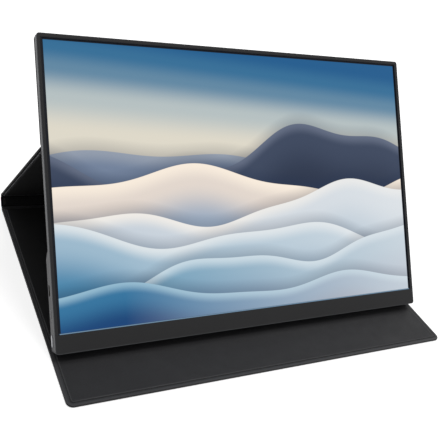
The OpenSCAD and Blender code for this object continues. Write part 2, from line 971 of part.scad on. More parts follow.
// Menu rocker: tips about the rib behind its middle
rocker_back = wall_in_x - rocker_swing - key_flange_t;
rocker_pivot_x = rocker_back;
rocker_rib_r = 0.7;
module menu_rocker() {
    color(metal_c)
        in_display() {
            through_side(1, key_y, rocker_up, rocker_back, half_w + key_proud)
                slot_shape(rocker_len, key_w);
            through_side(1, key_y, rocker_up, rocker_back, rocker_back + key_flange_t)
                slot_shape(rocker_len + 2 * key_flange, key_w);
            translate([rocker_pivot_x, key_y + key_w / 2, rocker_up])
                rotate([90, 0, 0])
                    cylinder(h = key_w, r = rocker_rib_r);
        }
}
// Two switches on one block, which the rocker's rib bears on
module menu_switches() {
    out = rocker_back - rocker_swing;
    reach = rocker_len / 2 - 2;
    block_out = rocker_back - rocker_rib_r - 0.1;
    block_in = out - 3.6;
    color("#9a9ca0")
        in_display() {
            for (end = [-1, 1])
                push_switch(1, rocker_up + end * reach, out);
            through_side(1, key_y, rocker_up, block_in, block_out)
                square([2 * (key_y - mount_y), 2 * reach - 3.4], center = true);
        }
}

// Flat box speakers behind the sound slots
module speaker(side) {
    speaker_t = 3.6;
    rim = 1;
    color("#1a1a1c")
        in_display()
            translate([side * speaker_x, 0, speaker_z - speaker_w / 2]) {
                difference() {
                    deep(housing_in - speaker_t, housing_in)
                        round_rect(speaker_len, speaker_w, 3);
                    translate([0, 0, 2 * rim])
                        deep(housing_in - rim, housing_in + cut)
                            round_rect(speaker_len - 4 * rim, speaker_w - 4 * rim, 2);
                }
            }
}
module speaker_left() {
    speaker(-1);
}
module speaker_right() {
    speaker(1);
}

front_leather();
front_board();
front_lining();
front_magnets();
spine_leather();
spine_board();
spine_lining();
lower_leather();
lower_board();
lower_lining();
upper_leather();
upper_board();
upper_lining();
upper_magnets();
side_frame();
front_bezel();
rear_cover();
screen_glass();
diffuser_films();
light_guide();
led_bar();
reflector_sheet();
screen_tray();
tray_tapes();
driver_board();
driver_flexes();
display_cable();
main_board();
board_chips();
shield_can();
board_screws();
usb_shell_lower();
usb_shell_upper();
usb_tongue_lower();
usb_tongue_upper();
power_button();
power_switch();
side_board();
link_cable();
hdmi_shell();
hdmi_tongue();
audio_jack();
menu_rocker();
menu_switches();
speaker_left();
speaker_right();
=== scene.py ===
"""Looks of a portable monitor in its folding leather cover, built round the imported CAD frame.

X runs across the screen, Y away from the viewer and Z up, in metres. Sizes that the CAD model
already holds are read from its nodes and joints. Sizes that belong to the looks alone are named
here in millimetres and turned into metres where they are used.
"""

import json
import math

import bmesh
import bpy
from mathutils import Matrix, Vector


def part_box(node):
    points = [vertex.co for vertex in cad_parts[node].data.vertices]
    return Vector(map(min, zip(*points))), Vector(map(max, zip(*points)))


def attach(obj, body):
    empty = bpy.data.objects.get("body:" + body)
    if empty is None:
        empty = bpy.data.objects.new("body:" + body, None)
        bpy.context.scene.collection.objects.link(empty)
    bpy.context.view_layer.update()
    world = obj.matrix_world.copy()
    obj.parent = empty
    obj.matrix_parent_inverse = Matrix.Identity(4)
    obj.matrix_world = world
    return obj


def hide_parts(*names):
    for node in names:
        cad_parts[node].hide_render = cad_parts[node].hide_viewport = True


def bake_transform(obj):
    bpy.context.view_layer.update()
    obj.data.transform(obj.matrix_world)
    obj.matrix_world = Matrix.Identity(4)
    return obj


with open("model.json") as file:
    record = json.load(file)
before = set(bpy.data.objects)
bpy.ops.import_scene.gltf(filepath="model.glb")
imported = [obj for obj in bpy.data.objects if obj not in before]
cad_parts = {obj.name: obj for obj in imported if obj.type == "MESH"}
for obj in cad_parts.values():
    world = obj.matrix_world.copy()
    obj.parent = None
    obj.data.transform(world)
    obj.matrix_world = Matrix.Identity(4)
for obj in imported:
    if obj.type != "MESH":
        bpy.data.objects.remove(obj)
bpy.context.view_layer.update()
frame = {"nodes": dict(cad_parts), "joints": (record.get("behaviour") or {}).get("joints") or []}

MM = 0.001
UP = Vector((0, 0, 1))
RIGHT = Vector((1, 0, 0))


# ---------------------------------------------------------------- camera and lamps

IMAGE_SIDE = 440            # the photograph's width and height, in pixels
SENSOR = 36                 # width of the camera's sensor, in millimetres
CLIP_START, CLIP_END = 0.01, 20  # nearest and furthest point seen, in metres
# The photograph's camera: angles in degrees, distance and target in millimetres
CAMERA = {
    "azimuth": -34.414, "elevation": 32.166, "roll": 16.804, "distance": 595.89,
    "target": (-18.616, 0, 64.808), "focal_px": 677.14,
}
LAMP_AIM = (0, 0, 0.1)
# Each lamp: its name, its place, its diameter in metres and its power in watts
LAMPS = [
    ("top", (0.25, 0.15, 2.1), 0.6, 9.5),
    ("right", (1.3, 1.0, 1.5), 1.0, 7.6),
]


def make_camera():
    """The photograph's viewpoint: a point looked at, the way to the camera, and its roll."""
    azimuth, elevation, roll = (math.radians(CAMERA[k]) for k in ("azimuth", "elevation", "roll"))
    back = Vector((
        math.sin(azimuth) * math.cos(elevation),
        -math.cos(azimuth) * math.cos(elevation),
        math.sin(elevation),
    ))
    level = (-back).cross(UP).normalized()
    upright = level.cross(-back)
    image_right = math.cos(roll) * level + math.sin(roll) * upright
    image_up = -math.sin(roll) * level + math.cos(roll) * upright
    data = bpy.data.cameras.new("camera")
    data.sensor_width = SENSOR
    data.lens = SENSOR * CAMERA["focal_px"] / IMAGE_SIDE
    data.clip_start, data.clip_end = CLIP_START, CLIP_END
    camera = bpy.data.objects.new("camera", data)
    turn = Matrix((image_right, image_up, back)).transposed().to_4x4()
    place = Vector(CAMERA["target"]) * MM + back * CAMERA["distance"] * MM
    camera.matrix_world = Matrix.Translation(place) @ turn
    bpy.context.scene.collection.objects.link(camera)
    bpy.context.scene.camera = camera


def make_lamp(name, place, size, watts):
    data = bpy.data.lights.new(name, "AREA")
    data.shape = "DISK"
    data.size = size
    data.energy = watts
    lamp = bpy.data.objects.new(name, data)
    lamp.location = place
    lamp.rotation_mode = "QUATERNION"
    lamp.rotation_quaternion = (Vector(LAMP_AIM) - Vector(place)).to_track_quat("-Z", "Y")
    bpy.context.scene.collection.objects.link(lamp)


# ---------------------------------------------------------------- node helpers

NOISE_LOW, NOISE_HIGH = 0.3, 0.7  # the span that holds most of a noise's values


def srgb(red, green, blue):
    """A linear colour with alpha from a display colour of 0 to 255."""
    def linear(value):
        value /= 255
        return value / 12.92 if value <= 0.04045 else ((value + 0.055) / 1.055) ** 2.4
    return (linear(red), linear(green), linear(blue), 1)


def shade(colour, factor):
    return (*(min(1, c * factor) for c in colour[:3]), 1)


def add(tree, kind, inputs=None, **settings):
    """Adds a shader node: settings are its properties, inputs its sockets, linked or set."""
    made = tree.nodes.new("ShaderNode" + kind)
    for key, value in settings.items():
        setattr(made, key, value)
    for key, value in (inputs or {}).items():
        if isinstance(value, bpy.types.NodeSocket):
            tree.links.new(value, made.inputs[key])
        else:
            made.inputs[key].default_value = value
    return made


def math_node(tree, operation, a, b=0.0, c=0.0):
    return add(tree, "Math", {0: a, 1: b, 2: c}, operation=operation).outputs[0]


def span(tree, value, low, high, to_low=0.0, to_high=1.0):
    """A value carried from one span to another and held at its ends."""
    return add(tree, "MapRange", {0: value, 1: low, 2: high, 3: to_low, 4: to_high}).outputs[0]


def ramp(tree, factor, stops, mode="LINEAR"):
    """A colour ramp: stops are (position, colour), and a number stands for a grey."""
    made = add(tree, "ValToRGB", {"Fac": factor})
    made.color_ramp.interpolation = mode
    elements = made.color_ramp.elements
    while len(elements) < len(stops):
        elements.new(0.5)
    for element, (position, colour) in zip(elements, stops):
        element.position = position
        element.color = colour if hasattr(colour, "__len__") else (colour, colour, colour, 1)
    return made.outputs["Color"]


def mix(tree, factor, a, b, blend="MIX"):
    made = add(tree, "Mix", {0: factor, 6: a, 7: b}, data_type="RGBA", blend_type=blend)
    return made.outputs[2]


def noise(tree, where, size_mm, detail=3.0, stretch=(1, 1, 1)):
    """Noise whose features are about size_mm across, longer where stretch is below 1."""
    scaled = add(tree, "Mapping", {"Vector": where, "Scale": stretch}).outputs[0]
    settings = {"Vector": scaled, "Scale": 1 / (size_mm * MM), "Detail": detail}
    return add(tree, "TexNoise", settings).outputs[0]


def uneven(tree, factor, colour, spread):
    """A colour that gets darker and lighter by a share as a noise goes."""
    return ramp(tree, factor, [
        (NOISE_LOW, shade(colour, 1 - spread)), (NOISE_HIGH, shade(colour, 1 + spread))])


def bump(tree, height, depth_mm, below=None):
    inputs = {"Height": height, "Strength": 1.0, "Distance": depth_mm * MM}
    if below is not None:
        inputs["Normal"] = below
    return add(tree, "Bump", inputs).outputs[0]


def new_material(name):
    """An empty material: its tree, its Principled shader and the object's own coordinates."""
    material = bpy.data.materials.new(name)
    material.use_nodes = True
    tree = material.node_tree
    tree.nodes.clear()
    shader = add(tree, "BsdfPrincipled")
    add(tree, "OutputMaterial", {"Surface": shader.outputs["BSDF"]})
    return material, tree, shader, add(tree, "TexCoord").outputs["Object"]


def connect(tree, shader, colour, roughness, normal):
    """Links the three inputs that vary over a surface; roughness is (noise, low, high)."""
    factor, low, high = roughness
    tree.links.new(colour, shader.inputs["Base Color"])
    tree.links.new(
        span(tree, factor, NOISE_LOW, NOISE_HIGH, low, high), shader.inputs["Roughness"])
    tree.links.new(normal, shader.inputs["Normal"])


def settle(shader, values):
    """Sets the shader's own sockets to what is the same all over the surface."""
    for name, value in values.items():
        shader.inputs[name].default_value = value


# ---------------------------------------------------------------- materials

# Leather: the sizes of its features and the depths of their relief, in millimetres
PEBBLE, PEBBLE_DEPTH = 0.75, 0.045
PEBBLE_PROFILE = [(0.0, 0.0), (0.12, 0.6), (0.4, 1.0)]  # height from a valley to a crown
VALLEY_SHADE = [(0.0, 0.72), (0.15, 1.0)]
PORE, PORE_DEPTH = 0.18, 0.012
WRINKLE, WRINKLE_DEPTH, WRINKLE_STRETCH = 1.1, 0.16, (0.05, 1, 1)
WANDER, WANDER_SHARE = 1.6, 0.5     # bends the pebbles' rows by a share of a pebble
DYE, DYE_SPREAD = 38, 0.07
WEAR, LEATHER_ROUGHNESS = 9, (0.53, 0.62)
# Where the painted light and shade on the front panel's part behind the display begins and where
# it is full
PAINTED_BEHIND_FROM, PAINTED_BEHIND_TO = -85, -55

# Lining: brushed patches and single fibres, in millimetres
NAP, NAP_STRETCH, NAP_SPREAD, NAP_ROUGHNESS = 24, (0.55, 1, 1), 0.14, (0.72, 0.86)
FIBRE, FIBRE_DEPTH, FIBRE_SHADE = 0.35, 0.03, [(NOISE_LOW, 0.8), (NOISE_HIGH, 1.15)]

# Moulded and metal stock: blotches, in millimetres, and the spreads of colour and roughness
BLOTCH, BLOTCH_SPREAD, ROUGHNESS_SPREAD = 14, 0.06, 0.12
BEVEL_SAMPLES = 6


def leather(name, colour, creased=False, gloss=0.15, painted_light_behind=None):
    """Fine synthetic leather: pebbles with soft valleys, uneven dye and a satin finish.

    A colour given for further back, behind the display, is painted light and shade there: painted
    shade on the inlay and painted light on the hem.
    """
    material, tree, shader, where = new_material(name)
    wander = noise(tree, where, WANDER, detail=2)
    push = WANDER_SHARE * PEBBLE * MM
    shift = add(tree, "CombineXYZ", {
        axis: math_node(tree, "MULTIPLY", wander, way * push)
        for axis, way in enumerate((1, -1, 1))
    }).outputs[0]
    shifted = add(tree, "VectorMath", {0: where, 1: shift}, operation="ADD").outputs[0]
    cells = add(
        tree, "TexVoronoi", {"Vector": shifted, "Scale": 1 / (PEBBLE * MM)},
        feature="DISTANCE_TO_EDGE",
    ).outputs["Distance"]
    dye = noise(tree, where, DYE, detail=4)
    base = uneven(tree, dye, colour, DYE_SPREAD)
    # Painted light and shade behind the display: towards the back the colour goes over to the one
    # given for there.
    if painted_light_behind:
        depth = add(tree, "SeparateXYZ", {0: where}).outputs[1]
        back = span(tree, depth, PAINTED_BEHIND_FROM * MM, PAINTED_BEHIND_TO * MM)
        base = mix(tree, back, base, uneven(tree, dye, painted_light_behind, DYE_SPREAD))
    valley = mix(tree, 1.0, base, ramp(tree, cells, VALLEY_SHADE), "MULTIPLY")
    normal = bump(tree, ramp(tree, cells, PEBBLE_PROFILE, "B_SPLINE"), PEBBLE_DEPTH)
    normal = bump(tree, noise(tree, where, PORE, detail=2), PORE_DEPTH, normal)
    if creased:
        lines = noise(tree, where, WRINKLE, detail=4, stretch=WRINKLE_STRETCH)
        normal = bump(tree, lines, WRINKLE_DEPTH, normal)
    wear = noise(tree, where, WEAR, detail=5)
    connect(tree, shader, valley, (wear, *LEATHER_ROUGHNESS), normal)
    settle(shader, {"Specular IOR Level": gloss, "Sheen Weight": 0.03, "Sheen Roughness": 0.5})
    return material


def microfibre(name, colour):
    """Napped lining: very fine fibres, brushed a little unevenly, with a soft sheen."""
    material, tree, shader, where = new_material(name)
    brushed = noise(tree, where, NAP, detail=4, stretch=NAP_STRETCH)
    fibres = noise(tree, where, FIBRE, detail=4)
    base = uneven(tree, brushed, colour, NAP_SPREAD)
    specks = mix(tree, 1.0, base, ramp(tree, fibres, FIBRE_SHADE), "MULTIPLY")
    connect(tree, shader, specks, (brushed, *NAP_ROUGHNESS), bump(tree, fibres, FIBRE_DEPTH))
    settle(shader, {"Specular IOR Level": 0.08, "Sheen Weight": 0.02, "Sheen Roughness": 0.4})
    return material


def surface(
    name, colour, roughness, metallic=0.0, grain_mm=0.3, depth_mm=0.004, stretch=(1, 1, 1),
    specular=0.5, edge_mm=0.12,
):
    """Moulded, pressed, brushed or plated stock: fine grain, faint blotches, broken edges."""
    material, tree, shader, where = new_material(name)
    blotch = noise(tree, where, BLOTCH, detail=4)
    grain = noise(tree, where, grain_mm, stretch=stretch)
    edges = add(tree, "Bevel", {"Radius": edge_mm * MM}, samples=BEVEL_SAMPLES).outputs[0]
    smooth, coarse = (roughness * (1 + way * ROUGHNESS_SPREAD) for way in (-1, 1))
    connect(
        tree, shader, uneven(tree, blotch, colour, BLOTCH_SPREAD),
        (mix(tree, 0.5, blotch, grain), smooth, coarse), bump(tree, grain, depth_mm, edges))
    settle(shader, {"Metallic": metallic, "Specular IOR Level": specular})
    return material


# ---------------------------------------------------------------- places read from the frame

joints = {joint["name"]: joint for joint in frame["joints"]}


def reach(node, direction, start=Vector()):
    """How far a node reaches along a direction from a start point: (least, most)."""
    found = [(v.co - start).dot(direction) for v in frame["nodes"][node].data.vertices]
    return min(found), max(found)


def turned(along):
    """The direction a quarter turn on from along, about +X."""
    return RIGHT.cross(along)


def fold_frame(fold, along, inner):
    """A panel's own frame at a fold: x across, y along the panel and z out of its inner face."""
    axes = Matrix((along.cross(inner), along, inner)).transposed().to_4x4()
    return Matrix.Translation(fold) @ axes


spine_fold, rear_fold, middle_fold = (
    Vector(joints[name]["pos_m"]) for name in ("spine_fold", "stand_fold", "middle_fold")
)
front_along = Vector((0, -1, 0))
spine_along = (rear_fold - spine_fold).normalized()
lower_along = (middle_fold - rear_fold).normalized()
display_depth = Vector(joints["menu_tip"]["axis"]).normalized()
display_up = turned(display_depth)
edge_depth, _ = reach("side_frame", display_depth)
edge_height, _ = reach("side_frame", display_up)
display_origin = display_depth * edge_depth + display_up * edge_height

front_low, front_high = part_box("front_leather")
lining_low, lining_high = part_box("front_lining")
display_low, display_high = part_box("side_frame")
cover_w = front_high.x - front_low.x
display_w = display_high.x - display_low.x
front_len = spine_fold.y - front_low.y
spine_len = (rear_fold - spine_fold).length
lower_len = (middle_fold - rear_fold).length
upper_len = reach("upper_leather", display_up, middle_fold)[1]
half_t = (front_high.z - front_low.z) / 2
hem_w = (cover_w - (lining_high.x - lining_low.x)) / 2
# A panel starts this far from its fold and thins towards the fold over this run
swing_start = spine_fold.y - front_high.y
thin_run = spine_fold.y - lining_high.y - swing_start

# Looks of the cover alone, in millimetres
FREE_R = 5.5        # corner radius at the front panel's free corners
TOP_R = 2.5         # corner radius at the upper panel's free corners
FOLD_R = 1.1        # corner radius beside a fold
LEAST_R = 0.3       # least corner radius of an inner ring
EDGE_W = 0.5        # width over which a leather edge rounds over
FACE_INSET = 3      # how far the outer face's flat cap lies inside that rounding
HEM_STEP = 0.5      # depth of the recess inside the hem, where the lining lies
SEAM_W = 1.7        # width of the hem's slope down into the pressed seam
LIP_W = 0.8         # width of the lining's rounded edge beside the seam
LINING_LIFT = 0.02  # clearance between the lining and the recess's floor
LINING_SINK = 0.03  # how far the lining's face lies below the hem's
PLAIN_RUN = 3       # length past the thin run in which a fold has no hem
CREASE_T = 1.15     # thickness of the leather in a fold
CREASE_REACH = 3.4  # how far the fold's leather runs into each panel
CREASE_BEND = 1.3   # distance from the fold over which it bends
CREASE_INSET = 0.6  # how much narrower than the panels it is

FOLD_THIN = 0.6     # share of the full thickness left where a panel meets a fold
INNER_FROM = 0.6    # share of the half thickness above which the rounding is the inner edge
EDGE_SHARE = 0.5    # share of the edge's inset that a panel has at its folds

# The bands of a panel's leather and of its lining, as numbers of their materials
OUTER, WALL, INNER, RIDGE = range(4)
FACE, LIP = range(2)
# Rings of the hem inside the rounding: part of the seam's width before the hem's end,
# share of the thin run, share of the step down, and the band up to the next ring
HEM_RINGS = [
    (1.0, 0.75, 0.0, RIDGE), (0.6, 0.85, 0.16, RIDGE), (0.25, 0.95, 0.6, OUTER),
    (0.0, 1.0, 1.0, OUTER),
]
HEM_START = (0.25, 0.6)     # flat start of the hem: inset in millimetres, share of the thin run
RECESS_IN = 0.5             # how far the recess's floor runs in, as a share of the seam's width
# Rings of the lining's face and rounded edge: inset as a share of the lip, millimetres below
# the face, and the band up to the next ring
LINING_RINGS = [
    (0.15, 0.3, LIP), (0.4, 0.12, LIP), (0.75, 0.02, LIP), (1.3, 0.0, FACE), (3.0, 0.0, FACE),
]
LINING_BACK = (1.6, 0.1)    # insets of its back face's rings, as shares of the lip


# ---------------------------------------------------------------- mesh helpers

SMOOTH_ANGLE = math.radians(35)
CORNER_STEPS = 8            # parts of a corner's quarter circle
SIDE_PARTS, END_PARTS = 8, 12   # parts of a panel's long side and of its end
ROUNDING_STEPS = 6          # parts of the quarter circle over which an edge rounds
CREASE_STEPS = 10           # parts of a fold's bend
CREASE_ENDS = (8, 25, 45, 65, 90)   # places round the end of a fold's leather, in degrees
CREASE_PARTS = 8            # parts of its width


def new_piece(name, made, matrix, materials):
    """A mesh object from a bmesh in its own frame, which the matrix carries to the object's."""
    bmesh.ops.recalc_face_normals(made, faces=made.faces)
    made.transform(matrix)
    mesh = bpy.data.meshes.new(name)
    for edge in made.edges:
        if len(edge.link_faces) == 2:
            edge.smooth = edge.calc_face_angle(0) < SMOOTH_ANGLE
    for face in made.faces:
        face.smooth = True
    made.to_mesh(mesh)
    made.free()
    for material in materials:
        mesh.materials.append(material)
    piece = bpy.data.objects.new(name, mesh)
    bpy.context.scene.collection.objects.link(piece)
    return piece


def stack_loops(made, loops, bands=None):
    """Joins rings of points, which have one count, into a closed skin with capped ends.

    bands gives the material number of each strip between two rings.
    """
    rings = [[made.verts.new(point) for point in loop] for loop in loops]
    count = len(rings[0])
    for k, (low, high) in enumerate(zip(rings, rings[1:])):
        for i in range(count):
            j = (i + 1) % count
            face = made.faces.new((low[i], low[j], high[j], high[i]))
            face.material_index = bands[k] if bands else 0
    made.faces.new(reversed(rings[0]))
    made.faces.new(rings[-1])


def round_corner(centre, radius, start):
    """A quarter circle of points about a corner's centre, from an angle in quarter turns."""
    angles = [(start + i / CORNER_STEPS) * math.pi / 2 for i in range(CORNER_STEPS + 1)]
    return [(centre[0] + radius * math.cos(a), centre[1] + radius * math.sin(a)) for a in angles]


def between(first, last, count):
    """The points that divide the way from one point to another into equal parts."""
    return [
        tuple(a + (b - a) * i / count for a, b in zip(first, last))
        for i in range(1, count)
    ]


class Panel:
    """One stiff panel of the cover, from its near fold to its far fold or its free end."""

    def __init__(self, matrix, near_w, far_w, length, free_r=None):
        """free_r is the corner radius at a free end, and None stands for a far fold."""
        self.matrix, self.near_w, self.far_w = matrix, near_w, far_w
        self.length, self.far_free = length, free_r is not None
        self.near_r = FOLD_R * MM
        self.far_r = free_r * MM if self.far_free else self.near_r
        self.near_y = swing_start
        self.far_y = length if self.far_free else length - swing_start

    def half_at(self, y, inset):
        """Half the width at a distance along the panel, less an inset."""
        share = y / self.length
        return (self.near_w + (self.far_w - self.near_w) * share) / 2 - inset

    def outline(self, free_inset, fold_inset):
        """The plan outline drawn in from its free edges and from its folds."""
        low = self.near_y + fold_inset
        high = self.far_y - (free_inset if self.far_free else fold_inset)
        near_r = max(self.near_r - fold_inset, LEAST_R * MM)
        far_r = max(self.far_r - free_inset, LEAST_R * MM)
        near_x = self.half_at(low, free_inset)
        far_x = self.half_at(high, free_inset)
        corners = [
            round_corner((near_x - near_r, low + near_r), near_r, 3),
            round_corner((far_x - far_r, high - far_r), far_r, 0),
            round_corner((far_r - far_x, high - far_r), far_r, 1),
            round_corner((near_r - near_x, low + near_r), near_r, 2),
        ]
        points = []
        for i, arc in enumerate(corners):
            following = corners[(i + 1) % 4][0]
            points += arc + between(arc[-1], following, END_PARTS if i % 2 else SIDE_PARTS)
        return points

    def thickness(self, y):
        """The share of the full thickness at a distance along the panel."""
        from_fold = y - swing_start
        if not self.far_free:
            from_fold = min(from_fold, self.length - swing_start - y)
        share = min(1, max(0, from_fold / thin_run))
        return FOLD_THIN + (1 - FOLD_THIN) * math.sin(share * math.pi / 2)

    def at_fold(self, point):
        """Whether a point lies along a fold, between the panel's side hems."""
        plain_run = thin_run + PLAIN_RUN * MM
        near = point.y < self.near_y + plain_run
        far = not self.far_free and point.y > self.far_y - plain_run
        return (near or far) and abs(point.x) < self.half_at(point.y, hem_w)

    def laid(self, name, section, materials, plain):
        """A piece from its section: (free inset, fold inset, height, band of the next strip).

        Along a fold no band is past the plain one.
        """
        made = bmesh.new()
        stack_loops(made, [
            [(x, y, z * self.thickness(y)) for x, y in self.outline(free, fold)]
            for free, fold, z, _ in section
        ], [band for *_, band in section])
        for face in made.faces:
            if face.material_index > plain and self.at_fold(face.calc_center_median()):
                face.material_index = plain
        return new_piece(name, made, self.matrix, materials)

    def skin(self, name, materials):
        """Leather round the board with its hem turned over, open to a recess for the lining.

        The materials are those of the outer face, the edge wall, the inner edge with the hem's
        outer part, and the hem's ridge beside the seam.
        """
        edge, step, seam = EDGE_W * MM, HEM_STEP * MM, SEAM_W * MM
        angles = [math.pi / 2 * i / ROUNDING_STEPS for i in range(ROUNDING_STEPS + 1)]
        rounding = [(edge * (1 - math.sin(a)), half_t * math.cos(a)) for a in angles]
        section = [(edge + FACE_INSET * MM, thin_run, -half_t, OUTER)]
        section += [(inset, inset * EDGE_SHARE, -z, WALL) for inset, z in rounding]
        section += [
            (inset, inset * EDGE_SHARE, z, INNER if z > half_t * INNER_FROM else WALL)
            for inset, z in reversed(rounding[:-1])
        ]
        start_inset, start_share = HEM_START
        section.append((edge + start_inset * MM, thin_run * start_share, half_t, INNER))
        section += [
            (hem_w - back * seam, thin_run * share, half_t - down * step, band)
            for back, share, down, band in HEM_RINGS
        ]
        inward = RECESS_IN * seam
        section.append((hem_w + inward, thin_run + inward, half_t - step, OUTER))
        return self.laid(name, section, materials, WALL)

    def inlay(self, name, materials):
        """The lining inside the hem, with rounded edges down into the pressed seam.

        The materials are those of its face and of its rounded edge.
        """
        back = half_t - (HEM_STEP - LINING_LIFT) * MM
        face = half_t - LINING_SINK * MM
        rings = [(share, back, FACE) for share in LINING_BACK]
        rings += [(share, face - down * MM, band) for share, down, band in LINING_RINGS]
        section = [
            (hem_w + LIP_W * MM * share, thin_run + LIP_W * MM * share, z, band)
            for share, z, band in rings
        ]
        return self.laid(name, section, materials, FACE)


def crease_rounding(width, half):
    """Places across a fold's leather with its share of thickness there, round at both ends."""
    angles = [math.radians(degrees) for degrees in CREASE_ENDS]
    left = [(half * (1 - math.cos(a)) - width / 2, math.sin(a)) for a in angles]
    right = [(-x, share) for x, share in reversed(left)]
    middle = [
        (x * width / CREASE_PARTS, 1.0)
        for x in range(1 - CREASE_PARTS // 2, CREASE_PARTS // 2)
    ]
    return left + middle + right


def crease(name, fold, from_along, to_along, width, material):
    """Leather that runs through a fold: it leaves one panel, bends and enters the other."""
    half = CREASE_T * MM / 2
    start = fold + from_along * CREASE_REACH * MM
    end = fold + to_along * CREASE_REACH * MM
    bend_in = fold + from_along * CREASE_BEND * MM
    bend_out = fold + to_along * CREASE_BEND * MM
    line = [start]
    for i in range(CREASE_STEPS + 1):
        t = i / CREASE_STEPS
        line.append(bend_in * (1 - t) ** 2 + fold * 2 * t * (1 - t) + bend_out * t * t)
    line.append(end)
    sides = []
    for i, point in enumerate(line):
        ahead = line[min(i + 1, len(line) - 1)] - line[max(i - 1, 0)]
        sides.append((point, RIGHT.cross(ahead).normalized()))
    loops = []
    for x, share in crease_rounding(width - CREASE_INSET * MM, half):
        upper = [p + n * half * share + RIGHT * x for p, n in sides]
        lower = [p - n * half * share + RIGHT * x for p, n in reversed(sides)]
        loops.append(upper + lower)
    made = bmesh.new()
    stack_loops(made, loops)
    piece = new_piece(name, made, Matrix.Identity(4), (material,))
    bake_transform(piece)


# ---------------------------------------------------------------- the screen and its bezel

BEZEL = srgb(52, 52, 53)
BEZEL_LIP = srgb(16, 19, 26)
BEZEL_LIP_W = 1.1       # dark inner rim of the bezel beside the screen, in millimetres
BEZEL_LIP_CORE = 0.8    # share of that width that is fully dark
WINDOW_MARGIN = 3       # nearest that the bezel's window comes to its outline, in millimetres
BORDER_W = 0.4          # dark border inside the lit layers' edges, in millimetres
PICTURE_BORDER = srgb(6, 10, 20)
# Painted highlight: the screen glows in a thin light line along the picture's bottom edge.
PICTURE_LEDGE = srgb(112, 142, 168)     # light caught below the picture
UNLIT = (0.004, 0.005, 0.007, 1)
BRIGHTNESS = 0.93
# The screen's anti-glare film: its grains and their relief, in millimetres
MATT_GRAIN, MATT_ROUGHNESS = 0.2, (0.30, 0.36)
MATT_BUMP, MATT_BUMP_DEPTH = 0.15, 0.002

# The picture: heights are shares of its height, and places across run from -0.5 to 0.5
SKY_SLANT = 0.10        # how much higher the sky's bands lie on the left than on the right
SKY = [
    (0.0, srgb(232, 226, 212)), (0.64, srgb(228, 222, 206)), (0.76, srgb(186, 197, 198)),
    (0.86, srgb(98, 138, 166)), (0.93, srgb(50, 112, 154)), (1.0, srgb(22, 92, 144)),
]
CLOUD = srgb(234, 238, 241)     # what the lower ribbons fade to on the right
HAZE_FROM, HAZE_TO, HAZE_MOST = -0.35, 0.5, 0.7
HAZY_BELOW = 0.45
RIBBON_SHADE = srgb(18, 40, 74)     # shadow that a ribbon casts on what lies above it
SHADE_HEIGHT, SHADE_MOST = 0.05, 0.32
EDGE_SOFTNESS = 0.0008      # of a ribbon's edge
RIM_SOFTNESS = 0.0006       # of the picture's edge
LEDGE_H = 0.0005
# Each ribbon: its edge's height at the middle, its rise to the right, two waves as
# (height, waves across, phase), and its colours from the edge down
RIBBONS = [
    (0.59, 0.02, (0.030, 0.9, 0.55), (0.014, 2.6, 0.40),
     [(0.0, srgb(150, 160, 176)), (0.06, srgb(116, 132, 158)), (0.24, srgb(96, 118, 148))]),
    (0.61, 0.12, (0.085, 1.15, 0.02), (0.024, 3.1, 0.85),
     [(0.0, srgb(98, 108, 130)), (0.05, srgb(58, 70, 94)), (0.24, srgb(36, 48, 72))]),
    (0.50, -0.05, (0.050, 1.2, 0.42), (0.014, 2.9, 0.70),
     [(0.0, srgb(255, 242, 226)), (0.07, srgb(232, 220, 210)), (0.22, srgb(160, 176, 196))]),
    (0.40, 0.13, (0.048, 1.4, 0.85), (0.012, 3.4, 0.20),
     [(0.0, srgb(246, 242, 236)), (0.06, srgb(204, 214, 224)), (0.24, srgb(136, 170, 196))]),
    (0.29, -0.10, (0.045, 1.3, 0.05), (0.012, 3.0, 0.55),
     [(0.0, srgb(226, 234, 238)), (0.06, srgb(160, 190, 210)), (0.22, srgb(74, 136, 174))]),
    (0.19, 0.12, (0.040, 1.6, 0.45), (0.010, 3.7, 0.05),
     [(0.0, srgb(196, 218, 230)), (0.05, srgb(104, 158, 188)), (0.20, srgb(30, 102, 150))]),
    (0.09, -0.06, (0.032, 1.5, 0.78), (0.008, 3.3, 0.35),
     [(0.0, srgb(150, 190, 212)), (0.04, srgb(50, 118, 162)), (0.14, srgb(10, 66, 120))]),
]


def up_the_screen(tree, where):
    """A point's height along the screen, in metres."""
    return add(
        tree, "VectorMath", {0: where, 1: tuple(display_up)}, operation="DOT_PRODUCT",
    ).outputs["Value"]


def picture_spans():
    """The picture's low and high reach across and up the screen, from the layers behind it."""
    lamps_low, lamps_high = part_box("led_bar")
    films_low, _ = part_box("diffuser_films")
    lap = lamps_low.x - films_low.x
    low, high = reach("diffuser_films", display_up, display_origin)
    border = BORDER_W * MM
    return lamps_low.x + border, lamps_high.x - border, low + lap, high - lap - border


